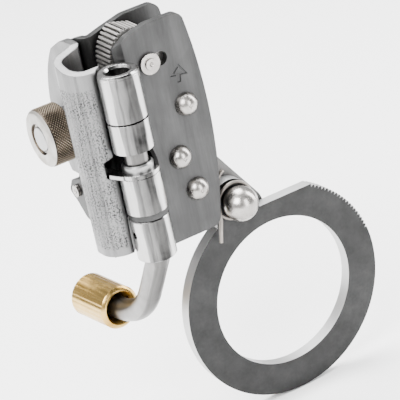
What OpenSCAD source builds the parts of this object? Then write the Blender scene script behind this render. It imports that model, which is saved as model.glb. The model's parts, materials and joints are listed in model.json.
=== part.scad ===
// Hinged steel rope grab, in millimetres. The rope's axis is the origin's +Z line and the lower edge of
// the side plates is z = 0. +X runs from the rope to the attachment eye, -Y is the front.

/* [Eye] */
// Bore of the attachment eye
eye_hole_d = 50; // [46:0.5:51]
// Thickness of the eye plate
eye_t = 4.2; // [3.6:0.1:4.4]

/* [Fasteners] */
// Diameter of the domed heads on the three plate rivets
rivet_head_d = 7.4; // [6.8:0.1:8]
// Height of the domed heads at the front
rivet_head_h = 3.3; // [2.6:0.1:3.4]
// Diameter of the ball head on the eye pin
ball_d = 11.2; // [11:0.2:12.6]

/* [Clamp] */
// Diameter of the knurled clamp knob
knob_d = 19; // [17:0.5:20]
// Width of the knob's knurled band
knob_w = 9.1; // [8:0.1:9.1]

/* [Weight] */
// Diameter of the brass weight
weight_d = 14.2; // [13:0.2:15]
// Length of the brass weight
weight_len = 18; // [16:0.5:22]

/* [Hidden] */
$fn = 96;

// Shift from the plates' own frame to the rope's axis
rope_shift = [5, 1, 0];

// Side plates: inner faces at +-gap / 2
plate_t = 2.5;
gap = 11.5;
y_in = gap / 2;
y_out = y_in + plate_t;

// Hinge
hinge = [-0.6, -12.6];
barrel_r = 6.3;
rod_r = 3.6;
bore_r = rod_r + 0.06;

// Pivots, given as x and z
cam_pivot = [15.7, 26.5];
lever_pivot = [19.2, 14.5];
top_rivet = [21.3, 42];
eye_pivot = [33.1, 3.4];
travel_pin_at = [12.2, 58.6];
rivets_at = [cam_pivot, lever_pivot, top_rivet];
shank_r = 2.6;
bush_r = 3.8;
run_r = bush_r + 0.06;
cam_swing = 7.2;

// Direction from the lever's pivot to the cam's, and the drive pin beside it
link = cam_pivot - lever_pivot;
link_len = norm(link);
link_u = link / link_len;
link_v = [link_u[1], -link_u[0]];
drive_at = lever_pivot + link_u * link_len / 2 + link_v * 6;
drive_r = 1.5;
link_tilt = atan2(link_u[1], link_u[0]) - 90;

// Clamp screw, given as y and z
clamp_at = [20.2, 36.8];
screw_r = 2.7;
pawl_rivet_at = [27.2, 12.8];
lug_gap = -1.7;
lug_t = 2.4;

// Rod below the barrel: a short bend, a straight run and a long bend, in a plane turned off the Y axis
rod_turn = 7;
kink_r = 5;
kink_a = 31.5;
slope_top = 0.71;
kink_t = kink_r * tan(kink_a / 2);
slope_len = 17.4;
elbow_r = 24.1;
weight_z = slope_top - slope_len * cos(kink_a) - elbow_r * (1 - sin(kink_a));
elbow_u = slope_len * sin(kink_a) + elbow_r * cos(kink_a);
weight_u = 28.5;

eye_at = [45, -34.4];

function unit(v) = v / norm(v);
function along(a) = [cos(a), sin(a)];

// Corner at p between its neighbours a and b: the tip that an arc of radius r leaves outside
module tip(a, p, b, r) {
    u = unit(a - p);
    v = unit(b - p);
    half = acos(u * v) / 2;
    reach = r / tan(half);
    c = p + unit(u + v) * r / sin(half);
    difference() {
        polygon([p + (p - c) * 0.2, p + u * reach, c, p + v * reach]);
        translate(c)
            circle(r = r * 1.0005);
    }
}

// Polygon, counterclockwise, with a radius for each corner; inner corners are filled, outer ones cut
module rounded(pts, radii) {
    n = len(pts);
    prev = [for (i = [0:n - 1]) pts[(i + n - 1) % n]];
    next = [for (i = [0:n - 1]) pts[(i + 1) % n]];
    turn = [for (i = [0:n - 1]) cross(pts[i] - prev[i], next[i] - pts[i])];
    difference() {
        polygon(pts);
        for (i = [0:n - 1])
            if (radii[i] > 0 && turn[i] > 0)
                tip(prev[i], pts[i], next[i], radii[i]);
    }
    for (i = [0:n - 1])
        if (radii[i] > 0 && turn[i] < 0)
            tip(prev[i], pts[i], next[i], radii[i]);
}

// Plate standing in the XZ plane between two values of y
module slab_xz(y0, y1) {
    translate([0, y1, 0])
        rotate([90, 0, 0])
            linear_extrude(y1 - y0)
                children();
}

// Plate standing in the YZ plane between two values of x
module slab_yz(x0, x1) {
    translate([x0, 0, 0])
        rotate([90, 0, 90])
            linear_extrude(x1 - x0)
                children();
}

// Round bar along Y
module bar_y(at, r, y0, y1) {
    slab_xz(y0, y1)
        translate(at)
            circle(r = r);
}

// Round bar along X, placed by y and z
module bar_x(at, r, x0, x1) {
    slab_yz(x0, x1)
        translate(at)
            circle(r = r);
}

module at_hinge(z = 0) {
    translate([hinge[0], hinge[1], z])
        children();
}

module tube(r0, r1, h) {
    difference() {
        cylinder(r = r1, h = h);
        translate([0, 0, -1])
            cylinder(r = r0, h = h + 2);
    }
}

// Round wire along a list of points; side is a direction never parallel to the wire
module wire(path, r, side) {
    n = len(path);
    k = 10;
    dirs = [for (i = [0:n - 1]) unit(path[min(i + 1, n - 1)] - path[max(i - 1, 0)])];
    out = [for (d = dirs) unit(cross(d, side))];
    ring = [
        for (i = [0:n - 1])
            for (j = [0:k - 1])
                path[i] + r * (cos(j * 360 / k) * out[i] + sin(j * 360 / k) * cross(out[i], dirs[i]))
    ];
    walls = [
        for (i = [0:n - 2])
            for (j = [0:k - 1])
                for (f = [0, 1])
                    f == 0
                        ? [i * k + j, i * k + (j + 1) % k, (i + 1) * k + j]
                        : [i * k + (j + 1) % k, (i + 1) * k + (j + 1) % k, (i + 1) * k + j]
    ];
    first = [for (j = [k - 1:-1:0]) j];
    last = [for (j = [0:k - 1]) (n - 1) * k + j];
    polyhedron(points = ring, faces = concat([first], walls, [last]));
}

// ---- side plates ----

module plate_outline(left) {
    intersection() {
        rounded(
            concat(left, [[24.6, 0], [29.56, 22], [29.5, 50.8], [25.6, 70.8], [13.7, 70.8], [6.3, 69]]),
            [for (i = [0:len(left) - 1]) 0, 3.5, 0, 0, 3.5, 6, 2]
        );
        translate([-143.2, 37.8])
            circle(r = 172, $fn = 400);
    }
}

// Arc slot for the travel pin, about the cam's pivot
module travel_slot() {
    arm = travel_pin_at - cam_pivot;
    r = norm(arm);
    a = atan2(arm[1], arm[0]);
    translate(cam_pivot) {
        intersection() {
            difference() {
                circle(r = r + 2.1);
                circle(r = r - 2.1);
            }
            polygon([[0, 0], along(a) * 50, along(a - cam_swing) * 50]);
        }
        for (b = [a, a - cam_swing])
            translate(along(b) * r)
                circle(r = 2.15);
    }
}

// Plain direction arrow
module arrow() {
    difference() {
        polygon([[0, 0], [3, 3.6], [6, 0]]);
        polygon([[1.5, 0.7], [3, 2.5], [4.5, 0.7]]);
    }
    translate([2.4, -2.2])
        square([1.2, 2.5]);
}

module front_side_plate() {
    color("silver")
    difference() {
        slab_xz(-y_out, -y_in)
            difference() {
                union() {
                    plate_outline([[2, 66.2], [2, 0]]);
                    translate([-0.6, 17.6])
                        square([6, 28.9]);
                }
                for (p = rivets_at)
                    translate(p)
                        circle(r = shank_r);
                travel_slot();
            }
        at_hinge(16)
            cylinder(r = barrel_r, h = 31);
        for (z = [[-1, 18.6], [46.5, 30]])
            translate([0, 0, z[0]])
                linear_extrude(z[1])
                    polygon([[5.38, -9], [1.22, -5], [-4, -5], [-4, -9]]);
        slab_xz(-y_out - 1, -y_out + 0.3)
            translate([18, 52])
                rotate(-8)
                    arrow();
    }
}

module rear_side_plate() {
    bend_x = 1.9;
    bend_y = y_in + 3.5;
    color("silver")
    difference() {
        union() {
            slab_xz(y_in, y_out)
                plate_outline([[bend_x, 67.8], [bend_x, 3.5], [6, 0]]);
            translate([bend_x, bend_y, 3.5])
                rotate([0, 0, 180])
                    rotate_extrude(angle = 90)
                        translate([1, 0])
                            square([plate_t, 64.3]);
            slab_yz(bend_x - 3.5, bend_x - 1) {
                intersection() {
                    translate([-3.06, 37.2])
                        circle(r = 35.4);
                    polygon([[bend_y, 19], [40, 19], [40, 60], [22.6, 61.4], [13.6, 66.4], [bend_y, 67.8]]);
                }
                rounded([[bend_y, 3.5], [22.8, 4.4], [31.8, 11.5], [28.2, 21], [bend_y, 21]], [0, 2, 2.5, 0, 0]);
            }
        }
        for (p = rivets_at)
            bar_y(p, shank_r, 0, 20);
        bar_x(clamp_at, screw_r + 0.4, -5, 5);
        bar_x(pawl_rivet_at, 1.3, -5, 5);
    }
}

module hinge_tube() {
    z0 = 17.3;
    z_low = 29.2;
    z_high = 37.4;
    color("gainsboro")
    difference() {
        at_hinge(z0)
            tube(bore_r, barrel_r, 46.8 - z0);
        at_hinge(z_low)
            linear_extrude(z_high - z_low)
                difference() {
                    circle(r = 9);
                    polygon([[0, 0], along(-26) * 12, along(10) * 20, along(64) * 20, along(100) * 12]);
                }
        at_hinge()
            slab_yz(0, 9)
                polygon([[-9, 30], [-2.7, 30], [3.1, z_high], [-9, z_high]]);
        at_hinge(z_low)
            cylinder(r = 5.1, h = z_high - z_low);
    }
}

// ---- rivets, bushes and the cam spring ----

module dome(r, h) {
    ball = (r * r + h * h) / (2 * h);
    intersection() {
        translate([0, 0, h - ball])
            sphere(r = ball);
        cylinder(r = r + 1, h = h + 1);
    }
}

module plate_rivets() {
    color("whitesmoke")
    for (p = rivets_at)
        difference() {
            union() {
                bar_y(p, shank_r, -y_out, y_out);
                translate([p[0], -y_out, p[1]])
                    rotate([90, 0, 0])
                        dome(rivet_head_d / 2, rivet_head_h);
                translate([p[0], y_out, p[1]])
                    rotate([-90, 0, 0])
                        dome(rivet_head_d / 2, 2.2);
            }
            translate([p[0], -y_out - rivet_head_h - 0.5, p[1]])
                sphere(r = 0.9);
        }
}

module rivet_bushes() {
    color("darkgray")
    for (p = rivets_at)
        slab_xz(-y_in, y_in)
            translate(p)
                difference() {
                    circle(r = bush_r);
                    circle(r = shank_r);
                }
}

module cam_spring() {
    r = 4.95;
    turns = 2;
    start = 13;
    foot = [16.0, -5.05, 44.5];
    coil = [
        for (i = [0:24 * turns])
            let (a = start - i * 15)
                [cam_pivot[0] + r * cos(a), -5.05 + max(0, i - 2) * 0.065, cam_pivot[1] + r * sin(a)]
    ];
    color("tan")
        wire(concat([foot], coil), 0.5, [0, 1, 0]);
}

module pawl_rivet() {
    color("whitesmoke")
    difference() {
        union() {
            bar_x(pawl_rivet_at, 1.3, -4.6, 1.6);
            bar_x(pawl_rivet_at, 2, -5.3, -4.25);
            bar_x(pawl_rivet_at, 2.1, 0.9, 1.8);
        }
        translate([-5.6, pawl_rivet_at[0], pawl_rivet_at[1]])
            sphere(r = 0.9);
    }
}

// ---- hinged cover ----

module gate_outline() {
    rounded(
        [
            [-2.4, -9.2], [-2.4, -6.8], [-11.4, -6.8], [-11.4, 2.05], [lug_gap, 6.23],
            [lug_gap, 36], [lug_gap - lug_t, 36], [lug_gap - lug_t, 7.8], [-13.8, 3.62], [-13.8, -9.2]
        ],
        [0, 0, 4.2, 3.5, 3.4, 0, 0, 1, 5.9, 6.6]
    );
}

module gate_side() {
    polygon([[-10, 3.5], [9, 3.5], [9, 66.9], [7.6, 66.8], [-10, 62.6]]);
    intersection() {
        translate([-3.06, 37.2])
            circle(r = 36.2);
        rounded(
            [[8.5, 20], [28.6, 19.4], [40, 30], [40, 50], [24.6, 61.4], [14.6, 66.9], [8.5, 66.9]],
            [0, 1.5, 0, 0, 12, 10, 0]
        );
    }
}

module gate_shell() {
    color("silver")
    difference() {
        intersection() {
            linear_extrude(72)
                gate_outline();
            slab_yz(-20, 0)
                gate_side();
        }
        at_hinge(-1)
            cylinder(r = barrel_r + 0.4, h = 48.3);
        at_hinge(47)
            cylinder(r = barrel_r, h = 20);
        slab_xz(-10, -6)
            rounded([[-9.6, 29], [-1, 29], [-1, 36.7], [-9.6, 34.6]], [0.8, 0, 0, 1]);
        bar_x(clamp_at, screw_r + 0.15, -9, 3);
    }
}

module gate_knuckle() {
    color("gainsboro")
    at_hinge()
        difference() {
            translate([0, 0, 47.3])
                cylinder(r = barrel_r, h = 13.9);
            translate([0, 0, 46])
                cylinder(r = bore_r, h = 5);
            translate([0, 0, 50])
                cylinder(r = 4.6, h = 12);
        }
}

module top_bush() {
    color("gainsboro")
    at_hinge()
        rotate_extrude()
            polygon([
                [bore_r, 50], [4.6, 50], [4.6, 61.2], [barrel_r, 61.2], [barrel_r, 61.8],
                [barrel_r - 0.5, 62.3], [4.3, 62.3], [bore_r, 61.6]
            ]);
}

module gate_eye() {
    color("dimgray")
    at_hinge(15.4)
        linear_extrude(1.7)
            difference() {
                union() {
                    circle(r = 6);
                    intersection() {
                        circle(r = barrel_r + 0.4);
                        translate([-7.5, 3.4])
                            square([6, 2.4]);
                    }
                }
                circle(r = bore_r);
            }
}

// ---- weighted lever on the hinge rod ----

module rod_plane() {
    translate([hinge[0], hinge[1], 0])
        rotate([0, 0, 90 + rod_turn])
            children();
}

// Part of a ring in the rod's plane, centred at u and z, swept from a to a + turn. It is a hair thicker
// than the straight runs, which reach a little way into it.
module bent_bar(u, z, r, a, turn) {
    translate([u, 0, z])
        rotate([90, 0, 0])
            rotate([0, 0, a])
                rotate_extrude(angle = turn)
                    translate([r, 0])
                        circle(r = rod_r + 0.02);
}

module hinge_rod() {
    color("silver")
    difference() {
        rod_plane() {
            translate([0, 0, slope_top + kink_t - 0.3])
                cylinder(r = rod_r, h = 55.9);
            translate([0, 0, slope_top + kink_t + 55.6])
                cylinder(r1 = rod_r, r2 = rod_r - 0.6, h = 0.6);
            bent_bar(kink_r, slope_top + kink_t, kink_r, 180, kink_a);
            translate([0, 0, slope_top])
                rotate([0, 180 - kink_a, 0])
                    translate([0, 0, kink_t - 0.3])
                        cylinder(r = rod_r, h = slope_len - kink_t + 0.6);
            bent_bar(elbow_u, weight_z + elbow_r, elbow_r, 180 + kink_a, 90 - kink_a);
            translate([elbow_u - 0.3, 0, weight_z])
                rotate([0, 90, 0])
                    cylinder(r = rod_r, h = 13);
        }
        translate([hinge[0], hinge[1], 10.3])
            rotate([0, 90, 0])
                cylinder(r = 1.1, h = 20, center = true);
    }
}

module rod_collar() {
    color("gainsboro")
    difference() {
        at_hinge()
            rotate_extrude()
                polygon([[rod_r, 1.5], [5.7, 1.5], [6.1, 1.9], [6.1, 14.9], [5.8, 15.2], [rod_r, 15.2]]);
        translate([hinge[0], hinge[1], 10.3])
            rotate([0, 90, 0])
                cylinder(r = 1.1, h = 20, center = true);
    }
}

module cross_pin() {
    color("dimgray")
    translate([hinge[0], hinge[1], 10.3])
        rotate([0, 90, 0])
            cylinder(r = 1.1, h = 10, center = true);
}

module stop_tab() {
    color("gainsboro")
    translate([0, 0, 29.35])
        linear_extrude(1.25)
            difference() {
                union() {
                    translate(hinge)
                        circle(r = 4.8);
                    translate(hinge)
                        intersection() {
                            circle(r = barrel_r);
                            polygon([
                                [0, 0], along(124) * 9, along(158) * 9, along(192) * 9, along(226) * 9,
                                along(260) * 9, along(294) * 9, along(326) * 9
                            ]);
                        }
                    rounded(
                        [
                            [-3, -15], [-3, -10.4], [-5.6, -9], [-5.9, -5.6],
                            [-7, -4.3], [-8.3, -5.2], [-9.2, -9.4], [-6.8, -15]
                        ],
                        [0, 0, 2, 1, 0.5, 0.8, 2, 2]
                    );
                }
                translate(hinge)
                    circle(r = rod_r);
            }
}

module stop_collar() {
    color("darkgray")
    at_hinge()
        rotate_extrude()
            polygon([[rod_r, 30.6], [4.8, 30.6], [4.8, 32.4], [4.3, 32.9], [rod_r, 32.9]]);
}

module brass_weight() {
    r = weight_d / 2;
    color("goldenrod")
    difference() {
        rod_plane()
            translate([weight_u, 0, weight_z])
                rotate([0, 90, 0])
                    rotate_extrude()
                        polygon([
                            [rod_r, 3.2], [5.6, 0.4], [5.6, 0], [r - 0.9, 0], [r, 0.9],
                            [r, weight_len - 0.5], [r - 0.5, weight_len], [rod_r, weight_len]
                        ]);
        rod_plane()
            translate([weight_u + 9, 0, weight_z - 9])
                cylinder(r = 1.5, h = 9);
    }
}

module weight_screw() {
    color("dimgray")
    rod_plane()
        translate([weight_u + 9, 0, weight_z - 6.6])
            difference() {
                cylinder(r = 1.5, h = 2.9);
                translate([0, 0, -0.5])
                    cylinder(r = 0.75, h = 1.5, $fn = 6);
            }
}

// ---- clamp and stop pawl ----

module thrust_washer() {
    color("gainsboro")
    slab_yz(-6.5, -4.25)
        translate(clamp_at)
            difference() {
                circle(r = 7);
                circle(r = screw_r + 0.15);
            }
}

module knurled_knob() {
    r = knob_d / 2;
    color("dimgray")
    translate([-6.7, clamp_at[0], clamp_at[1]])
        rotate([0, -90, 0])
            rotate_extrude()
                polygon([
                    [screw_r, 0], [7.4, 0], [r, 0.8], [r, knob_w - 1], [r - 1, knob_w],
                    [5.1, knob_w], [4.7, knob_w - 0.9], [screw_r, knob_w - 0.9]
                ]);
}

module clamp_screw() {
    color("silver")
    translate([-6.7 - knob_w + 0.9, clamp_at[0], clamp_at[1]])
        rotate([0, 90, 0])
            rotate_extrude()
                polygon([[0, -0.7], [3.7, -0.7], [4, -0.4], [4, 0], [screw_r, 0], [screw_r, 16], [2.1, 16.7], [0, 16.7]]);
}

module stop_pawl() {
    color("silver")
    slab_yz(-4.15, -1.75)
        difference() {
            rounded(
                [[19, 6], [23.4, 3.4], [25.4, 3.8], [29.6, 8.2], [33.6, 11], [30.6, 15.6], [22.4, 18], [19, 17.4]],
                [1, 0.6, 1, 4, 1.2, 2, 2, 1]
            );
            translate(pawl_rivet_at)
                circle(r = 1.36);
        }
}

// ---- cam ----

head_at = [13.5, 60.2];
head_r = 12.1;

module cam_outline() {
    difference() {
        union() {
            translate(head_at)
                circle(r = head_r);
            polygon([[8.4, 27], [22.6, 27], [15, 37.5], [15, 46], [21, 54], [20, 62], [1.4, 60.2], [2.4, 53], [5.4, 42]]);
            translate(cam_pivot)
                circle(r = 7.3);
            translate(cam_pivot)
                rotate(link_tilt)
                    rounded([[0, -8.2], [9.2, -8.2], [9.2, 0.5], [0, 0.5]], [0, 1.5, 3, 0]);
        }
        // Teeth round the head and down the rope side
        for (a = [119:7:196])
            translate(head_at)
                rotate(a)
                    polygon([[head_r + 1, -0.8], [head_r + 1, 0.6], [head_r - 1.2, 0.15], [head_r - 1.2, 0]]);
        // The head slopes away towards the back, with four more teeth
        polygon([[7.3, 70.75], [14.1, 68.9], [17, 66.4], [20, 62], [30, 62], [30, 75], [7.3, 75]]);
        for (i = [0:3])
            translate([8.8 + i * 1.45, 70.35 - i * 0.4])
                rotate(-15)
                    polygon([[-0.7, 1], [0.5, 1], [0.1, -1], [-0.05, -1]]);
        for (i = [0:4])
            translate([2.25 + i * 0.5, 54.4 - i * 2.5])
                polygon([[-1.4, -0.9], [0.9, -0.1], [0.9, 0.1], [-1.4, 0.8]]);
        translate(cam_pivot)
            circle(r = run_r);
        translate(travel_pin_at)
            circle(r = 1.75);
        // Fork for the lever's drive pin
        translate(cam_pivot)
            rotate(link_tilt)
                translate([6, 0]) {
                    translate([0, -4.7])
                        circle(r = 1.75);
                    translate([-1.75, -12])
                        square([3.5, 7.3]);
                }
        translate(cam_pivot)
            rotate(link_tilt)
                translate([-10, -14])
                    square([13, 8]);
    }
}

module cam() {
    color("darkgray")
    difference() {
        slab_xz(-4.3, 4.4)
            cam_outline();
        translate([-5, 2.1, 10])
            cube([40, 6, 24]);
        bar_y(cam_pivot, 6.3, -6, -0.9);
    }
}

module travel_pin() {
    color("whitesmoke")
    difference() {
        bar_y(travel_pin_at, 1.75, -9.7, 3.6);
        translate([travel_pin_at[0], -10.1, travel_pin_at[1]])
            sphere(r = 0.8);
    }
}

module travel_pin_washer() {
    color("gainsboro")
    slab_xz(-9.15, -8.35)
        translate(travel_pin_at)
            difference() {
                circle(r = 3.25);
                circle(r = 1.75);
            }
}

// ---- lever arm, eye pin and eye ----

module lever_arm() {
    color("darkgray")
    slab_xz(2.3, 5.4)
        difference() {
            rounded(
                [
                    [12, 7.3], [20.5, 7.3], [35.9, -15.5], [49.2, -6.6],
                    [27.1, 26], [22.8, 27], [19.2, 20.6], [12, 20.6]
                ],
                [6, 0, 7.9, 7.9, 2.5, 1, 2, 6]
            );
            translate(lever_pivot)
                circle(r = run_r);
            translate(drive_at)
                circle(r = drive_r);
            translate(eye_pivot)
                circle(r = 3.5);
        }
}

module drive_pin() {
    color("whitesmoke")
        bar_y(drive_at, drive_r, -4, 5.4);
}

module ball_pin() {
    r = ball_d / 2;
    color("whitesmoke")
    translate([eye_pivot[0], 0, eye_pivot[1]]) {
        intersection() {
            translate([0, -7.5, 0])
                sphere(r = r);
            translate([-10, -20, -10])
                cube([20, 14.6, 20]);
        }
        rotate([90, 0, 0])
            translate([0, 0, -5.4])
                cylinder(r = 3.5, h = 10.9);
        rotate([-90, 0, 0])
            translate([0, 0, 5.4])
                dome(5, 1.6);
    }
}

module eye_plate() {
    color("gray")
    slab_xz(-eye_t / 2, eye_t / 2)
        difference() {
            union() {
                intersection() {
                    translate(eye_at)
                        circle(r = 35.5);
                    translate([0, -80])
                        square([100, 77]);
                }
                translate(eye_pivot)
                    circle(r = 6.5);
                rounded([[26.6, 2], [26, -8], [46, -10], [42.2, -3], [38.6, 0.6], [37, 4]], [0, 0, 0, 3, 3, 0]);
            }
            translate(eye_at)
                circle(r = eye_hole_d / 2);
            // Grip teeth in the rim
            for (a = [15:2.3:61])
                translate(eye_at)
                    rotate(a)
                        translate([35.5, 0])
                            polygon([[-1, 0], [0.5, -0.65], [0.5, 0.65]]);
            translate(eye_pivot)
                circle(r = 3.56);
        }
}

module eye_spring() {
    r = 6.05;
    coil = [
        for (i = [0:24])
            let (a = 180 - i * 15)
                [eye_pivot[0] + r * cos(a), -4.55 + i * 0.06, eye_pivot[1] + r * sin(a)]
    ];
    lower = [[25.2, -4.55, -8], [26.6, -4.55, -3]];
    upper = [[27.6, -3.1, 7.6], [29.6, -3.1, 12.6], [31.6, -3.1, 14.2]];
    color("tan")
        wire(concat(lower, coil, upper), 0.62, [0, 1, 0]);
}

translate(rope_shift) front_side_plate();
translate(rope_shift) rear_side_plate();
translate(rope_shift) hinge_tube();
translate(rope_shift) plate_rivets();
translate(rope_shift) rivet_bushes();
translate(rope_shift) cam_spring();
translate(rope_shift) pawl_rivet();
translate(rope_shift) gate_shell();
translate(rope_shift) gate_knuckle();
translate(rope_shift) top_bush();
translate(rope_shift) gate_eye();
translate(rope_shift) hinge_rod();
translate(rope_shift) rod_collar();
translate(rope_shift) cross_pin();
translate(rope_shift) stop_tab();
translate(rope_shift) stop_collar();
translate(rope_shift) brass_weight();
translate(rope_shift) weight_screw();
translate(rope_shift) thrust_washer();
translate(rope_shift) knurled_knob();
translate(rope_shift) clamp_screw();
translate(rope_shift) stop_pawl();
translate(rope_shift) cam();
translate(rope_shift) travel_pin();
translate(rope_shift) travel_pin_washer();
translate(rope_shift) lever_arm();
translate(rope_shift) drive_pin();
translate(rope_shift) ball_pin();
translate(rope_shift) eye_plate();
translate(rope_shift) eye_spring();
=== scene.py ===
import json
import math

import bmesh
import bpy
from mathutils import Matrix, Vector


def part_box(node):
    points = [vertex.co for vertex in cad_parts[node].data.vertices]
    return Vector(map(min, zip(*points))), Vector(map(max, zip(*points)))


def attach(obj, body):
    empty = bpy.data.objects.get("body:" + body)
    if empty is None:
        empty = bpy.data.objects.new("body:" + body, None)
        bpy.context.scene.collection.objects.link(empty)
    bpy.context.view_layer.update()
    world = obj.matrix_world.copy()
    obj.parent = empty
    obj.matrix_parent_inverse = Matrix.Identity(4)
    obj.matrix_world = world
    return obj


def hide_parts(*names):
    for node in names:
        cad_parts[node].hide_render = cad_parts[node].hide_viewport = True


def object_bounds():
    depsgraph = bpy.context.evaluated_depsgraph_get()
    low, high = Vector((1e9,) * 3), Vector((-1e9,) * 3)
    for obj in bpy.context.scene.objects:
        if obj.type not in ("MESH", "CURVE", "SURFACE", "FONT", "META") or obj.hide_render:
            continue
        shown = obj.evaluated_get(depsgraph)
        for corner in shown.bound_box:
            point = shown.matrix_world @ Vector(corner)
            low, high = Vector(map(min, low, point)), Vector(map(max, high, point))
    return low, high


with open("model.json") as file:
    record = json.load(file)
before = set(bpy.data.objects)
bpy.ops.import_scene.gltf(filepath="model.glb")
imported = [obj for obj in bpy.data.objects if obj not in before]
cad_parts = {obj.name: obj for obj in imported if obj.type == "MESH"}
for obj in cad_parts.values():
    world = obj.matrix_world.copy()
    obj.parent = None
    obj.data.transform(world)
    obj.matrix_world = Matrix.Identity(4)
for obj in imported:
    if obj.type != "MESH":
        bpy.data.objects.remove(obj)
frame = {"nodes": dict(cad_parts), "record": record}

mm = 0.001
scene = bpy.context.scene
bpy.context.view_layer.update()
nodes = frame["nodes"]
print("frame loaded:", len(nodes), "nodes")


# ---- small helpers ----

def middle(node):
    low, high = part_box(node)
    return (Vector(low) + Vector(high)) / 2


def span(node):
    low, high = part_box(node)
    return Vector(high) - Vector(low)


def newNode(tree, kind, label="", **values):
    node = tree.nodes.new(kind)
    node.label = label
    for key, value in values.items():
        setattr(node, key, value)
    return node


def feed(tree, source, target):
    # A socket is linked; a plain value is set on the socket itself
    if isinstance(source, bpy.types.NodeSocket):
        tree.links.new(source, target)
    else:
        target.default_value = source


def mathNode(tree, operation, a, b=0.0, clamp=False):
    node = newNode(tree, "ShaderNodeMath", operation=operation, use_clamp=clamp)
    feed(tree, a, node.inputs[0])
    feed(tree, b, node.inputs[1])
    return node.outputs[0]


def times(tree, a, b):
    return mathNode(tree, "MULTIPLY", a, b)


def plus(tree, a, b, clamp=False):
    return mathNode(tree, "ADD", a, b, clamp)


def minus(tree, a, b):
    return mathNode(tree, "SUBTRACT", a, b)


def mixColour(tree, factor, a, b, blend="MIX"):
    node = newNode(tree, "ShaderNodeMix", data_type="RGBA", blend_type=blend)
    feed(tree, factor, node.inputs["Factor"])
    feed(tree, a, node.inputs[6])
    feed(tree, b, node.inputs[7])
    return node.outputs[2]


def rampNode(tree, source, stops):
    node = newNode(tree, "ShaderNodeValToRGB")
    ramp = node.color_ramp
    while len(ramp.elements) < len(stops):
        ramp.elements.new(0.5)
    for element, (place, level) in zip(ramp.elements, stops):
        element.position = place
        element.color = (level, level, level, 1)
    feed(tree, source, node.inputs[0])
    return node.outputs[0]


def grey(level, warm=0.0):
    return (level * (1 + warm), level, level * (1 - warm), 1)


def startGroup(name, inputs, outputs):
    group = bpy.data.node_groups.new(name, "ShaderNodeTree")
    for label, kind, value in inputs:
        socket = group.interface.new_socket(label, in_out="INPUT", socket_type=kind)
        if value is not None:
            socket.default_value = value
    for label, kind in outputs:
        group.interface.new_socket(label, in_out="OUTPUT", socket_type=kind)
    return group, newNode(group, "NodeGroupInput"), newNode(group, "NodeGroupOutput")


# ---- shared effects ----

def makeGrain():
    # Fine parallel brushing: noise drawn out along one direction by the Stretch vector
    group, source, sink = startGroup(
        "brushedGrain",
        [("Stretch", "NodeSocketVector", (1, 1, 1)), ("Lines", "NodeSocketFloat", 900.0)],
        [("Fine", "NodeSocketFloat"), ("Broad", "NodeSocketFloat")],
    )
    coord = newNode(group, "ShaderNodeTexCoord")
    stretch = newNode(group, "ShaderNodeVectorMath", operation="MULTIPLY")
    feed(group, coord.outputs["Object"], stretch.inputs[0])
    feed(group, source.outputs["Stretch"], stretch.inputs[1])
    fine = newNode(group, "ShaderNodeTexNoise", "fine lines")
    feed(group, stretch.outputs[0], fine.inputs["Vector"])
    feed(group, source.outputs["Lines"], fine.inputs["Scale"])
    fine.inputs["Detail"].default_value = 4
    fine.inputs["Roughness"].default_value = 0.65
    broad = newNode(group, "ShaderNodeTexNoise", "broad streaks")
    feed(group, stretch.outputs[0], broad.inputs["Vector"])
    feed(group, times(group, source.outputs["Lines"], 0.18), broad.inputs["Scale"])
    broad.inputs["Detail"].default_value = 3
    feed(group, fine.outputs["Fac"], sink.inputs["Fine"])
    feed(group, broad.outputs["Fac"], sink.inputs["Broad"])
    return group


def makeHandling():
    # Smears from handling and a few pits, both over the whole surface
    group, source, sink = startGroup(
        "handlingMarks",
        [("Size", "NodeSocketFloat", 90.0), ("Pits", "NodeSocketFloat", 1400.0)],
        [("Smear", "NodeSocketFloat"), ("Pit", "NodeSocketFloat")],
    )
    coord = newNode(group, "ShaderNodeTexCoord")
    smear = newNode(group, "ShaderNodeTexNoise", "smears")
    feed(group, coord.outputs["Object"], smear.inputs["Vector"])
    feed(group, source.outputs["Size"], smear.inputs["Scale"])
    smear.inputs["Detail"].default_value = 5
    smear.inputs["Distortion"].default_value = 0.6
    cells = newNode(group, "ShaderNodeTexVoronoi", "pits")
    feed(group, coord.outputs["Object"], cells.inputs["Vector"])
    feed(group, source.outputs["Pits"], cells.inputs["Scale"])
    feed(group, rampNode(group, smear.outputs["Fac"], [(0.32, 0), (0.68, 1)]), sink.inputs["Smear"])
    feed(group, rampNode(group, cells.outputs["Distance"], [(0.04, 1), (0.16, 0)]), sink.inputs["Pit"])
    return group


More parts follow.
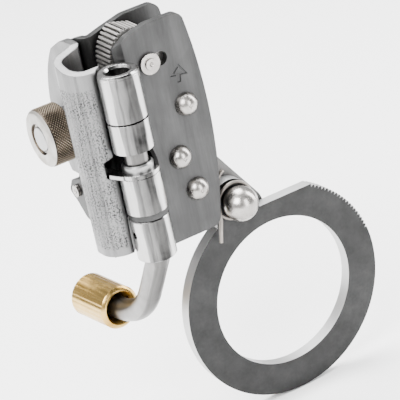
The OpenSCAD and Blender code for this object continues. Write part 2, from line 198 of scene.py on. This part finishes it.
def makeStipple():
    # Worn etched marks in loose rows, kept to a height range and to one side
    group, source, sink = startGroup(
        "etchedBand",
        [
            ("Low", "NodeSocketFloat", 0.0), ("High", "NodeSocketFloat", 0.05),
            ("Row", "NodeSocketFloat", 0.0016), ("Side", "NodeSocketFloat", 0.0),
        ],
        [("Mark", "NodeSocketFloat")],
    )
    coord = newNode(group, "ShaderNodeTexCoord")
    place = newNode(group, "ShaderNodeSeparateXYZ")
    feed(group, coord.outputs["Object"], place.inputs[0])
    x, y, z = place.outputs
    girth = minus(group, y, x)
    rows = mathNode(group, "FRACT", mathNode(group, "DIVIDE", girth, source.outputs["Row"]))
    offRow = mathNode(group, "ABSOLUTE", minus(group, rows, 0.5))
    gap = times(group, offRow, 0.22)
    shape = newNode(group, "ShaderNodeCombineXYZ")
    feed(group, z, shape.inputs[0])
    feed(group, girth, shape.inputs[1])
    strokes = newNode(group, "ShaderNodeTexNoise", "strokes")
    feed(group, shape.outputs[0], strokes.inputs["Vector"])
    strokes.inputs["Scale"].default_value = 1700
    strokes.inputs["Detail"].default_value = 2
    inked = minus(group, strokes.outputs["Fac"], gap)
    worn = newNode(group, "ShaderNodeTexNoise", "wear")
    feed(group, shape.outputs[0], worn.inputs["Vector"])
    worn.inputs["Scale"].default_value = 160
    strength = rampNode(group, worn.outputs["Fac"], [(0.35, 0.35), (0.6, 1)])
    mark = times(group, rampNode(group, inked, [(0.43, 0), (0.53, 1)]), strength)
    above = mathNode(group, "GREATER_THAN", z, source.outputs["Low"])
    below = mathNode(group, "LESS_THAN", z, source.outputs["High"])
    aside = mathNode(group, "LESS_THAN", x, source.outputs["Side"])
    mask = times(group, times(group, above, below), aside)
    feed(group, times(group, mark, mask), sink.inputs["Mark"])
    return group


def makeReflectionBands():
    # Painted reflection: dark and bright stripes lengthwise on upright turned parts, by the bearing that
    # the surface faces
    begin, climb, waver = 0.573, 2.2, 0.09  # where the bands begin, how fast they drift upwards, how uneven
    group, source, sink = startGroup(
        "paintedReflectionBands", [("Lines", "NodeSocketFloat", 26.0)], [("Tone", "NodeSocketFloat")],
    )
    coord = newNode(group, "ShaderNodeTexCoord")
    facing = newNode(group, "ShaderNodeSeparateXYZ")
    feed(group, coord.outputs["Normal"], facing.inputs[0])
    bearing = mathNode(group, "ARCTAN2", facing.outputs[1], facing.outputs[0])
    turn = mathNode(group, "DIVIDE", bearing, 2 * math.pi)
    turn = mathNode(group, "FRACT", plus(group, turn, begin))
    place = newNode(group, "ShaderNodeSeparateXYZ")
    feed(group, coord.outputs["Object"], place.inputs[0])
    across = newNode(group, "ShaderNodeCombineXYZ")
    feed(group, turn, across.inputs[0])
    feed(group, times(group, place.outputs[2], climb), across.inputs[1])
    fine = newNode(group, "ShaderNodeTexNoise", "reflection wobble")
    feed(group, across.outputs[0], fine.inputs["Vector"])
    feed(group, source.outputs["Lines"], fine.inputs["Scale"])
    fine.inputs["Detail"].default_value = 3
    wobble = times(group, minus(group, fine.outputs["Fac"], 0.5), waver)
    reflectionBands = rampNode(group, plus(group, turn, wobble), [
        (0.0, 0.12), (0.03, 0.8), (0.1, 1.0), (0.17, 0.95), (0.185, 0.35), (0.21, 0.22), (0.225, 0.08),
        (0.24, 0.25), (0.27, 0.16), (0.285, 0.04), (0.3, 0.015), (0.33, 0.05), (0.35, 0.015), (0.365, 0.1),
        (0.38, 0.85), (0.4, 1.0), (0.46, 0.9), (0.49, 0.2), (0.56, 0.8), (0.68, 0.1), (0.8, 0.9),
        (0.95, 0.15), (1.0, 0.12),
    ])
    feed(group, reflectionBands, sink.inputs["Tone"])
    return group


grain = makeGrain()
handling = makeHandling()
stipple = makeStipple()
# Painted reflection stripes for upright turned parts
streaks = makeReflectionBands()
print("shared effects built")


# ---- materials ----

def startMaterial(name):
    material = bpy.data.materials.new(name)
    material.use_nodes = True
    tree = material.node_tree
    tree.nodes.clear()
    shader = newNode(tree, "ShaderNodeBsdfPrincipled")
    output = newNode(tree, "ShaderNodeOutputMaterial")
    tree.links.new(shader.outputs[0], output.inputs[0])
    return material, tree, shader


def useGroup(tree, group, **values):
    node = newNode(tree, "ShaderNodeGroup")
    node.node_tree = group
    for key, value in values.items():
        feed(tree, value, node.inputs[key])
    return node


def metal(name, look):
    # look: dark and light tint, warm cast, brushing direction and density, smears, roughness range,
    # relief, rounding and nook in mm, the reach of the painted shade in nooks; bands sets how far the
    # painted reflection stripes darken it
    material, tree, shader = startMaterial(name)
    lines = useGroup(tree, grain, Stretch=look["stretch"], Lines=look.get("lines", 900.0))
    marks = useGroup(tree, handling, Size=look.get("smearSize", 90.0))
    tone = plus(tree, times(tree, lines.outputs["Broad"], 0.65), times(tree, lines.outputs["Fine"], 0.35))
    tone = rampNode(tree, tone, [(0.3, 0), (0.7, 1)])
    colour = mixColour(tree, tone, grey(look["dark"], look["warm"]), grey(look["light"], look["warm"]))
    # Painted reflection: stripes set by the facing bearing darken the colour
    if "reflectionBands" in look:
        reflectionTone = useGroup(tree, streaks)
        shade = times(tree, reflectionTone.outputs[0], look["reflectionBands"])
        shade = plus(tree, 1 - look["reflectionBands"], shade)
        colour = mixColour(tree, 1.0, colour, shade, blend="MULTIPLY")
    dulled = times(tree, marks.outputs["Smear"], look.get("smear", 0.3))
    colour = mixColour(tree, dulled, colour, grey(look["dark"] * 0.8, look["warm"] * 1.6))
    if "edge" in look:  # lighter tone on every surface not facing along Y, round the darker faces that do
        coord = newNode(tree, "ShaderNodeTexCoord")
        facing = newNode(tree, "ShaderNodeSeparateXYZ")
        feed(tree, coord.outputs["Normal"], facing.inputs[0])
        flat = mathNode(tree, "GREATER_THAN", mathNode(tree, "ABSOLUTE", facing.outputs[1]), 0.9)
        colour = mixColour(tree, flat, grey(look["edge"]), colour)
    # Painted shade: ambient occlusion darkens the colour in nooks, creases and between parts
    nookShade = newNode(tree, "ShaderNodeAmbientOcclusion", samples=6)
    nookShade.inputs["Distance"].default_value = look.get("nookShade", 7.0) * mm
    nookShadeRamp = rampNode(tree, nookShade.outputs["AO"], [(0.15, look.get("nookShadeLevel", 0.25)), (0.8, 1)])
    colour = mixColour(tree, 1.0, colour, nookShadeRamp, blend="MULTIPLY")
    feed(tree, colour, shader.inputs["Base Color"])
    shader.inputs["Metallic"].default_value = 1.0
    low, high = look["rough"]
    half = (high - low) / 2
    rough = plus(tree, low, times(tree, tone, half))
    rough = plus(tree, rough, times(tree, marks.outputs["Smear"], half), clamp=True)
    feed(tree, rough, shader.inputs["Roughness"])
    relief = minus(tree, times(tree, lines.outputs["Fine"], 0.5), times(tree, marks.outputs["Pit"], 0.3))
    rounding = newNode(tree, "ShaderNodeBevel", samples=4)
    rounding.inputs["Radius"].default_value = look.get("rounding", 0.25) * mm
    bump = newNode(tree, "ShaderNodeBump")
    bump.inputs["Distance"].default_value = look.get("relief", 0.02) * mm
    bump.inputs["Strength"].default_value = 0.6
    feed(tree, relief, bump.inputs["Height"])
    feed(tree, rounding.outputs[0], bump.inputs["Normal"])
    feed(tree, bump.outputs[0], shader.inputs["Normal"])
    return material, tree, shader


alongX, alongY, alongZ = (0.04, 1, 1), (1, 0.04, 1), (1, 1, 0.04)

sheetLook = dict(dark=0.045, light=0.085, warm=0.0, stretch=(1, 1, 0.1), lines=1300.0, rough=(0.36, 0.5),
                 smear=0.35, relief=0.03, rounding=0.35)
# The barrel and rod looks paint reflection stripes into their colour
barrelLook = dict(dark=0.42, light=0.72, warm=0.01, stretch=alongZ, lines=1000.0, rough=(0.16, 0.3),
                  smear=0.2, relief=0.015, rounding=0.3, reflectionBands=1.0)
rivetLook = dict(dark=0.3, light=0.5, warm=0.05, stretch=(1, 1, 1), lines=500.0, rough=(0.2, 0.36),
                 smear=0.4, relief=0.02, smearSize=240.0, rounding=0.2)
bushLook = dict(dark=0.3, light=0.45, warm=0.0, stretch=(1, 1, 1), lines=800.0, rough=(0.25, 0.4),
                relief=0.02, rounding=0.2)
springLook = dict(dark=0.14, light=0.32, warm=0.09, stretch=(1, 1, 1), lines=900.0, rough=(0.28, 0.45),
                  relief=0.01, rounding=0.05)
# The gate's look paints deep, wide shade into its channel
gateLook = dict(dark=0.16, light=0.3, warm=0.0, stretch=(1, 1, 0.06), lines=1100.0, rough=(0.28, 0.46),
                smear=0.35, relief=0.02, rounding=0.5, nookShade=12.0, nookShadeLevel=0.08)
shadowLook = dict(dark=0.04, light=0.09, warm=0.0, stretch=(1, 1, 1), lines=900.0, rough=(0.35, 0.5),
                  relief=0.01, rounding=0.1)
rodLook = dict(dark=0.17, light=0.3, warm=0.02, stretch=(0.6, 0.6, 0.2), lines=500.0, rough=(0.24, 0.42),
               smear=0.45, smearSize=130.0, relief=0.02, rounding=0.3, reflectionBands=0.65)
screwLook = dict(dark=0.4, light=0.55, warm=0.01, stretch=alongX, lines=700.0, rough=(0.3, 0.44),
                 relief=0.02, rounding=0.3)
camLook = dict(dark=0.6, light=0.85, warm=0.03, stretch=alongY, lines=700.0, rough=(0.26, 0.5),
               smear=0.4, relief=0.04, rounding=0.12, nookShade=1.6, nookShadeLevel=0.2)
leverLook = dict(dark=0.1, light=0.17, warm=0.02, stretch=(1, 1, 0.3), lines=1000.0, rough=(0.32, 0.48),
                 relief=0.03, rounding=0.3)
eyeLook = dict(dark=0.028, light=0.05, warm=0.0, stretch=(0.7, 1, 0.7), lines=1500.0, rough=(0.4, 0.55),
               smear=0.35, smearSize=60.0, relief=0.03, rounding=0.4, edge=0.5)


def gateMetal():
    # Pale sheet with a grey etched band of small marks down its outer corner
    band = dict(low=0.006, high=0.058, row=0.0019, side=-0.0025, ink=0.03)
    material, tree, shader = metal("coverSheet", gateLook)
    marks = useGroup(tree, stipple, Low=band["low"], High=band["high"], Row=band["row"], Side=band["side"])
    plain = shader.inputs["Base Color"].links[0].from_socket
    inked = mixColour(tree, times(tree, marks.outputs["Mark"], 0.9), plain, grey(band["ink"]))
    feed(tree, inked, shader.inputs["Base Color"])
    rough = shader.inputs["Roughness"].links[0].from_socket
    rougher = plus(tree, rough, times(tree, marks.outputs["Mark"], 0.2), clamp=True)
    feed(tree, rougher, shader.inputs["Roughness"])
    return material


def brassMetal():
    brass = dict(pale=(0.8, 0.56, 0.2, 1), deep=(0.42, 0.24, 0.05, 1), stain=(0.4, 0.25, 0.07, 1),
                 rough=0.2, lines=900.0)
    material, tree, shader = startMaterial("turnedBrass")
    lines = useGroup(tree, grain, Stretch=(1, 0.06, 1), Lines=brass["lines"])
    marks = useGroup(tree, handling, Size=160.0, Pits=1500.0)
    tone = rampNode(tree, lines.outputs["Broad"], [(0.3, 0), (0.7, 1)])
    colour = mixColour(tree, tone, brass["deep"], brass["pale"])
    colour = mixColour(tree, times(tree, marks.outputs["Smear"], 0.3), colour, brass["stain"])
    feed(tree, colour, shader.inputs["Base Color"])
    shader.inputs["Metallic"].default_value = 1.0
    rough = plus(tree, brass["rough"], times(tree, marks.outputs["Smear"], 0.15))
    feed(tree, rough, shader.inputs["Roughness"])
    bump = newNode(tree, "ShaderNodeBump")
    bump.inputs["Distance"].default_value = 0.02 * mm
    feed(tree, lines.outputs["Fine"], bump.inputs["Height"])
    feed(tree, bump.outputs[0], shader.inputs["Normal"])
    return material


def knurlMetal():
    # Painted shade darkens the grooves, the points stay pale: the radius from the knob's axis tells them
    # apart
    look = dict(grooveShade=(0.008, 0.005, 0.003, 1), point=(0.3, 0.25, 0.19, 1), face=(0.5, 0.485, 0.46, 1),
                dirt=(0.2, 0.16, 0.12, 1), depth=0.55 * mm, rough=0.32)
    material, tree, shader = startMaterial("knurledSteel")
    centre = middle("knurled_knob")
    radius = span("knurled_knob").z / 2
    coord = newNode(tree, "ShaderNodeTexCoord")
    place = newNode(tree, "ShaderNodeSeparateXYZ")
    feed(tree, coord.outputs["Object"], place.inputs[0])
    dy = minus(tree, place.outputs[1], centre.y)
    dz = minus(tree, place.outputs[2], centre.z)
    away = mathNode(tree, "SQRT", plus(tree, times(tree, dy, dy), times(tree, dz, dz)))
    proud = minus(tree, away, radius - look["depth"])
    height = mathNode(tree, "DIVIDE", proud, look["depth"], clamp=True)
    marks = useGroup(tree, handling, Size=260.0, Pits=2200.0)
    knurl = mixColour(tree, rampNode(tree, height, [(0.5, 0), (1.0, 1)]), look["grooveShade"], look["point"])
    facing = newNode(tree, "ShaderNodeSeparateXYZ")
    feed(tree, coord.outputs["Normal"], facing.inputs[0])
    isFace = mathNode(tree, "GREATER_THAN", mathNode(tree, "ABSOLUTE", facing.outputs[0]), 0.6)
    colour = mixColour(tree, isFace, knurl, look["face"])
    colour = mixColour(tree, times(tree, marks.outputs["Smear"], 0.35), colour, look["dirt"])
    feed(tree, colour, shader.inputs["Base Color"])
    shader.inputs["Metallic"].default_value = 0.9
    rough = plus(tree, look["rough"], times(tree, marks.outputs["Smear"], 0.18))
    feed(tree, rough, shader.inputs["Roughness"])
    return material


finish = {
    "plate_steel": metal("satinSheet", sheetLook)[0],
    "barrel_steel": metal("turnedBarrel", barrelLook)[0],
    "rivet_steel": metal("polishedRivet", rivetLook)[0],
    "bush_steel": metal("turnedBush", bushLook)[0],
    "spring_steel": metal("springWire", springLook)[0],
    "gate_steel": gateMetal(),
    "dark_steel": metal("shadedSteel", shadowLook)[0],
    "rod_steel": metal("bentRod", rodLook)[0],
    "weight_brass": brassMetal(),
    "knob_steel": knurlMetal(),
    "screw_steel": metal("groundInsert", screwLook)[0],
    "cam_steel": metal("castCam", camLook)[0],
    "lever_steel": metal("leverPlate", leverLook)[0],
    "eye_steel": metal("darkEye", eyeLook)[0],
}
slotOf = {part["node"]: part["material_slot"] for part in frame["record"]["subparts"]}
for name, piece in nodes.items():
    piece.data.materials.clear()
    piece.data.materials.append(finish[slotOf[name]])
print("finishes on", len(nodes), "nodes")


# ---- pieces made in mesh code ----

def meshPiece(name, mesh, node, body, sharp=35):
    mesh.set_sharp_from_angle(angle=math.radians(sharp))
    for face in mesh.polygons:
        face.use_smooth = True
    piece = bpy.data.objects.new(name, mesh)
    scene.collection.objects.link(piece)
    mesh.materials.clear()
    mesh.materials.append(finish[slotOf[node]])
    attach(piece, body)
    return piece


def turned(name, profile, origin, axis, steps=96, wave=None):
    # Closed ring of revolution: profile holds (radius, distance along the axis),
    # and wave moves a point in or out by its angle
    axis = Vector(axis).normalized()
    side = axis.orthogonal().normalized()
    other = axis.cross(side)
    work = bmesh.new()
    rings = []
    for i in range(steps):
        turn = 2 * math.pi * i / steps
        out = side * math.cos(turn) + other * math.sin(turn)
        ring = []
        for k, (radius, reach) in enumerate(profile):
            grow = wave(turn, k) if wave else 0
            ring.append(work.verts.new(Vector(origin) + out * (radius + grow) + axis * reach))
        rings.append(ring)
    count = len(profile)
    for i in range(steps):
        a, b = rings[i], rings[(i + 1) % steps]
        for k in range(count):
            n = (k + 1) % count
            work.faces.new((a[k], a[n], b[n], b[k]))
    bmesh.ops.recalc_face_normals(work, faces=work.faces)
    mesh = bpy.data.meshes.new(name)
    work.to_mesh(mesh)
    work.free()
    return mesh


def wireMesh(name, path, radius, sides=14):
    # Round wire along a path, closed at both ends by flat caps
    work = bmesh.new()
    rings = []
    last = len(path) - 1
    across = Vector((0, 1, 0))
    for i, point in enumerate(path):
        ahead = (path[min(i + 1, last)] - path[max(i - 1, 0)]).normalized()
        out = ahead.cross(across).normalized()
        up = out.cross(ahead)
        rings.append([work.verts.new(point + radius * (math.cos(t) * out + math.sin(t) * up))
                      for t in (2 * math.pi * k / sides for k in range(sides))])
    for a, b in zip(rings, rings[1:]):
        for k in range(sides):
            work.faces.new((a[k], a[(k + 1) % sides], b[(k + 1) % sides], b[k]))
    work.faces.new(rings[0][::-1])
    work.faces.new(rings[-1])
    bmesh.ops.recalc_face_normals(work, faces=work.faces)
    mesh = bpy.data.meshes.new(name)
    work.to_mesh(mesh)
    work.free()
    return mesh


def geometryTree(name, inputs):
    tree = bpy.data.node_groups.new(name, "GeometryNodeTree")
    tree.interface.new_socket("Geometry", in_out="INPUT", socket_type="NodeSocketGeometry")
    for label, kind in inputs:
        tree.interface.new_socket(label, in_out="INPUT", socket_type=kind)
    tree.interface.new_socket("Geometry", in_out="OUTPUT", socket_type="NodeSocketGeometry")
    return tree, newNode(tree, "NodeGroupInput"), newNode(tree, "NodeGroupOutput")


def grown(name, base, tree, values):
    # Runs a tree on a base mesh and returns its result as a plain mesh
    carrier = bpy.data.objects.new(name + "Base", base)
    scene.collection.objects.link(carrier)
    modifier = carrier.modifiers.new("grow", "NODES")
    modifier.node_group = tree
    ids = {item.name: item.identifier for item in tree.interface.items_tree if item.in_out == "INPUT"}
    for label, value in values.items():
        modifier[ids[label]] = value
    graph = bpy.context.evaluated_depsgraph_get()
    graph.update()
    mesh = bpy.data.meshes.new_from_object(carrier.evaluated_get(graph), depsgraph=graph)
    mesh.name = name
    carrier.modifiers.remove(modifier)
    bpy.data.objects.remove(carrier)
    return mesh


def knurlTree():
    # Four-sided points on a cylinder round the X axis, each row half a step on from the last
    tree, source, sink = geometryTree("diamondKnurl", [
        ("Radius", "NodeSocketFloat"), ("Width", "NodeSocketFloat"), ("Around", "NodeSocketInt"),
        ("Rows", "NodeSocketInt"), ("Height", "NodeSocketFloat"), ("Centre", "NodeSocketVector"),
        ("Finish", "NodeSocketMaterial"),
    ])
    link = tree.links.new
    given = source.outputs
    total = times(tree, given["Around"], given["Rows"])
    points = newNode(tree, "GeometryNodeMeshLine")
    link(total, points.inputs["Count"])
    index = newNode(tree, "GeometryNodeInputIndex").outputs[0]
    row = mathNode(tree, "FLOOR", mathNode(tree, "DIVIDE", index, given["Around"]))
    half = times(tree, mathNode(tree, "MODULO", row, 2.0), 0.5)
    step = plus(tree, mathNode(tree, "MODULO", index, given["Around"]), half)
    angle = times(tree, mathNode(tree, "DIVIDE", step, given["Around"]), 2 * math.pi)
    across = mathNode(tree, "DIVIDE", plus(tree, row, 0.5), given["Rows"])
    along = times(tree, minus(tree, across, 0.5), given["Width"])
    cosine, sine = mathNode(tree, "COSINE", angle), mathNode(tree, "SINE", angle)
    outward = newNode(tree, "ShaderNodeCombineXYZ")
    link(cosine, outward.inputs[1])
    link(sine, outward.inputs[2])
    reach = newNode(tree, "ShaderNodeVectorMath", operation="SCALE")
    link(outward.outputs[0], reach.inputs[0])
    link(minus(tree, given["Radius"], given["Height"]), reach.inputs["Scale"])
    shift = newNode(tree, "ShaderNodeCombineXYZ")
    link(along, shift.inputs[0])
    place = newNode(tree, "ShaderNodeVectorMath", operation="ADD")
    link(reach.outputs[0], place.inputs[0])
    link(shift.outputs[0], place.inputs[1])
    centred = newNode(tree, "ShaderNodeVectorMath", operation="ADD")
    link(place.outputs[0], centred.inputs[0])
    link(given["Centre"], centred.inputs[1])
    setPlace = newNode(tree, "GeometryNodeSetPosition")
    link(points.outputs[0], setPlace.inputs["Geometry"])
    link(centred.outputs[0], setPlace.inputs["Position"])
    point = newNode(tree, "GeometryNodeMeshCone")
    point.inputs["Vertices"].default_value = 4
    rim = mathNode(tree, "DIVIDE", times(tree, given["Radius"], math.pi), given["Around"])
    link(times(tree, rim, 1.04), point.inputs["Radius Bottom"])
    link(given["Height"], point.inputs["Depth"])
    layAlong = newNode(tree, "FunctionNodeAlignRotationToVector", axis="X")
    layAlong.inputs["Vector"].default_value = (1, 0, 0)
    standUp = newNode(tree, "FunctionNodeAlignRotationToVector", axis="Z", pivot_axis="X")
    link(layAlong.outputs[0], standUp.inputs["Rotation"])
    link(outward.outputs[0], standUp.inputs["Vector"])
    copies = newNode(tree, "GeometryNodeInstanceOnPoints")
    link(setPlace.outputs[0], copies.inputs["Points"])
    link(point.outputs["Mesh"], copies.inputs["Instance"])
    link(standUp.outputs[0], copies.inputs["Rotation"])
    solid = newNode(tree, "GeometryNodeRealizeInstances")
    link(copies.outputs[0], solid.inputs[0])
    both = newNode(tree, "GeometryNodeJoinGeometry")
    link(solid.outputs[0], both.inputs[0])
    link(given["Geometry"], both.inputs[0])
    coat = newNode(tree, "GeometryNodeSetMaterial")
    link(both.outputs[0], coat.inputs["Geometry"])
    link(given["Finish"], coat.inputs["Material"])
    link(coat.outputs[0], sink.inputs[0])
    return tree


def buildKnob():
    knob = dict(around=54, rows=15, height=0.5 * mm, chamfer=1.0 * mm, recess=5.1 * mm, bore=2.75 * mm)
    low, high = map(Vector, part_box("knurled_knob"))
    centre, width, radius = (low + high) / 2, high.x - low.x, (high.z - low.z) / 2
    core = radius - knob["height"] * 0.96
    profile = [
        (knob["bore"], 0), (7.2 * mm, 0), (core - 0.2 * mm, 0.7 * mm), (core, 0.9 * mm),
        (core, width - 1.3 * mm), (radius - 0.25 * mm, width - 1.15 * mm),
        (radius - 0.3 * mm, width - 0.75 * mm),
        (radius - knob["chamfer"], width - 0.08 * mm), (radius - 1.3 * mm, width), (knob["recess"], width),
        (knob["recess"] - 0.4 * mm, width - 0.85 * mm), (knob["bore"], width - 0.9 * mm),
    ]
    body = turned("knobBody", profile, (high.x, centre.y, centre.z), (-1, 0, 0), steps=108)
    mesh = grown("knurledKnob", body, knurlTree(), {
        "Radius": radius - 0.01 * mm, "Width": width - 2.5 * mm,
        "Around": knob["around"], "Rows": knob["rows"], "Height": knob["height"],
        "Centre": (centre.x + 0.1 * mm, centre.y, centre.z), "Finish": finish["knob_steel"],
    })
    piece = meshPiece("knurledKnobMesh", mesh, "knurled_knob", "clamp_knob", sharp=25)
    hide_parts("knurled_knob")


def buildWeight():
    # Turned brass with shallow flats along its length and a countersunk bore
    flats = dict(count=26, depth=0.14 * mm, bore=3.62 * mm, sink=5.6 * mm, bearing=97)
    bearing = math.radians(flats["bearing"])
    axis = Vector((math.cos(bearing), math.sin(bearing), 0))
    centre, size = middle("brass_weight"), span("brass_weight")
    radius = size.z / 2
    length = (size.y - 2 * radius * abs(axis.x)) / axis.y
    r = radius - 0.01 * mm
    profile = [
        (flats["bore"], 3.2 * mm), (flats["sink"], 0.4 * mm), (flats["sink"], 0), (r - 1.0 * mm, 0),
        (r - 0.75 * mm, 0.12 * mm), (r, 0.95 * mm), (r, 1.4 * mm), (r, length - 1.2 * mm),
        (r, length - 0.5 * mm),
        (r - 0.35 * mm, length - 0.1 * mm), (r - 0.6 * mm, length), (flats["bore"], length),
    ]

    def flute(turn, k):
        return -flats["depth"] * (0.5 + 0.5 * math.cos(turn * flats["count"])) ** 2 if k in (6, 7) else 0

    mesh = turned("fluted", profile, centre - axis * length / 2, axis, steps=208, wave=flute)
    piece = meshPiece("brassWeightMesh", mesh, "brass_weight", "weighted_lever", sharp=28)
    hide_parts("brass_weight")


def buildEyeSpring():
    # One turn round the pin, between a leg against the lever and a leg that hooks the eye
    spring = dict(radius=6.05 * mm, wire=0.62 * mm, turns=1, pitch=1.44 * mm, steps=64)
    centre = middle("ball_pin")
    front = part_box("eye_spring")[0][1] + spring["wire"]
    path = []
    for x, z in ((-7.9, -11.4), (-7.2, -8.0), (-6.5, -5.0), (-6.15, -2.4)):
        path.append(Vector((centre.x + x * mm, front, centre.z + z * mm)))
    steps = spring["steps"] * spring["turns"]
    for i in range(steps + 1):
        turn = math.pi - 2 * math.pi * spring["turns"] * i / steps
        path.append(Vector((
            centre.x + spring["radius"] * math.cos(turn), front + spring["pitch"] * i / steps,
            centre.z + spring["radius"] * math.sin(turn),
        )))
    for x, z in ((-6.0, 2.2), (-5.5, 4.2), (-4.6, 7.0), (-3.5, 9.2), (-2.6, 10.2), (-1.5, 10.8)):
        path.append(Vector((centre.x + x * mm, front + spring["pitch"], centre.z + z * mm)))
    mesh = wireMesh("eyeSpring", path, spring["wire"])
    piece = meshPiece("eyeSpringWire", mesh, "eye_spring", "eye", sharp=60)
    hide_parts("eye_spring")


def buildCamSpring():
    # Two coils round the cam's bush, and a straight leg up to the frame
    coil = dict(radius=4.95 * mm, wire=0.5 * mm, turns=2, start=13, leg=(0.3 * mm, 18 * mm), flat=5,
                steps=56)
    low, high = map(Vector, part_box("cam_spring"))
    reach = coil["radius"] + coil["wire"]
    centreX, centreZ = low.x + reach, low.z + reach
    front, back = low.y + coil["wire"], high.y - coil["wire"]
    path = [Vector((centreX + coil["leg"][0], front, centreZ + coil["leg"][1]))]
    steps = coil["steps"] * coil["turns"]
    for i in range(steps + 1):
        turn = math.radians(coil["start"]) - 2 * math.pi * coil["turns"] * i / steps
        along = max(0, i - coil["flat"]) / (steps - coil["flat"])
        path.append(Vector((
            centreX + coil["radius"] * math.cos(turn), front + (back - front) * along,
            centreZ + coil["radius"] * math.sin(turn),
        )))
    mesh = wireMesh("camSpring", path, coil["wire"])
    piece = meshPiece("camSpringWire", mesh, "cam_spring", "frame", sharp=60)
    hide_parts("cam_spring")


buildKnob()
buildWeight()
buildEyeSpring()
buildCamSpring()
print("mesh pieces built")


# ---- floor, light and camera ----

def buildStage():
    ground = dict(size=6.0, drop=0.0005, colour=(0.93, 0.93, 0.93, 1))
    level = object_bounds()[0].z - ground["drop"]
    work = bmesh.new()
    corners = [(-1, -1), (1, -1), (1, 1), (-1, 1)]
    work.faces.new([work.verts.new((x * ground["size"], y * ground["size"], level)) for x, y in corners])
    mesh = bpy.data.meshes.new("floor")
    work.to_mesh(mesh)
    work.free()
    floor = bpy.data.objects.new("floor", mesh)
    scene.collection.objects.link(floor)
    material, _, shader = startMaterial("paleFloor")
    shader.inputs["Base Color"].default_value = ground["colour"]
    shader.inputs["Roughness"].default_value = 0.9
    mesh.materials.append(material)


def softbox(name, place, aim, width, height, power):
    light = bpy.data.lights.new(name, "AREA")
    light.shape = "RECTANGLE"
    light.size, light.size_y = width, height
    light.energy = power
    lamp = bpy.data.objects.new(name, light)
    scene.collection.objects.link(lamp)
    lamp.location = place
    lamp.rotation_mode = "QUATERNION"
    lamp.rotation_quaternion = (Vector(aim) - Vector(place)).to_track_quat("-Z", "Y")


def buildLight():
    aim = middle("hinge_tube")
    softbox("keyLight", aim + Vector((-0.5, -0.35, 0.55)), aim, 0.5, 0.5, 16.0)
    softbox("frontFill", aim + Vector((0.25, -0.9, 0.2)), aim, 0.35, 0.8, 8.0)
    softbox("rightStrip", aim + Vector((0.75, -0.1, 0.3)), aim, 0.25, 0.8, 10.0)
    softbox("topLight", aim + Vector((0.0, 0.3, 0.8)), aim, 0.9, 0.6, 34.0)
    # Studio surroundings: pale, with a few dark flags standing round it that the turned steel reflects
    world = bpy.data.worlds.new("studio")
    scene.world = world
    world.use_nodes = True
    tree = world.node_tree
    tree.nodes.clear()
    coord = newNode(tree, "ShaderNodeTexCoord")
    place = newNode(tree, "ShaderNodeSeparateXYZ")
    feed(tree, coord.outputs["Generated"], place.inputs[0])
    bearing = mathNode(tree, "ARCTAN2", place.outputs[1], place.outputs[0])
    around = plus(tree, mathNode(tree, "DIVIDE", bearing, 2 * math.pi), 0.5)
    flags = rampNode(tree, around, [
        (0.0, 0.35), (0.06, 0.9), (0.12, 0.95), (0.15, 0.12), (0.19, 0.08), (0.22, 0.85), (0.3, 1.0),
        (0.33, 0.2), (0.37, 0.75), (0.42, 0.1), (0.46, 0.6), (0.6, 0.9), (0.75, 0.3), (0.9, 0.8),
        (1.0, 0.35),
    ])
    up = rampNode(tree, plus(tree, times(tree, place.outputs[2], 0.5), 0.5),
                  [(0.0, 0.9), (0.5, 0.15), (0.8, 1.0)])
    level = mathNode(tree, "MAXIMUM", flags, times(tree, up, 0.35))
    path = newNode(tree, "ShaderNodeLightPath")
    shade = newNode(tree, "ShaderNodeMix", data_type="FLOAT")
    feed(tree, path.outputs["Is Camera Ray"], shade.inputs["Factor"])
    feed(tree, level, shade.inputs[2])
    shade.inputs[3].default_value = 2.6
    background = newNode(tree, "ShaderNodeBackground")
    feed(tree, shade.outputs[0], background.inputs["Strength"])
    background.inputs["Color"].default_value = (1, 1, 1, 1)
    output = newNode(tree, "ShaderNodeOutputWorld")
    tree.links.new(background.outputs[0], output.inputs[0])


def buildCamera():
    shot = dict(azimuth=-26.2, elevation=24.3, roll=-12.0, lens=204.4, distance=0.728,
                aim=(0.0378, 0.0203, -0.0034))
    a, e, r = (math.radians(shot[key]) for key in ("azimuth", "elevation", "roll"))
    back = Vector((math.sin(a) * math.cos(e), -math.cos(a) * math.cos(e), math.sin(e)))
    right = Vector((0, 0, 1)).cross(back).normalized()
    up = back.cross(right)
    right, up = right * math.cos(r) + up * math.sin(r), up * math.cos(r) - right * math.sin(r)
    data = bpy.data.cameras.new("camera")
    data.lens = shot["lens"]
    data.sensor_width = 36
    data.clip_start, data.clip_end = 0.01, 50
    camera = bpy.data.objects.new("camera", data)
    scene.collection.objects.link(camera)
    spot = Vector(shot["aim"]) + back * shot["distance"]
    camera.matrix_world = Matrix.Translation(spot) @ Matrix((right, up, back)).transposed().to_4x4()
    scene.camera = camera


buildStage()
buildLight()
buildCamera()
print("stage, light and camera set")
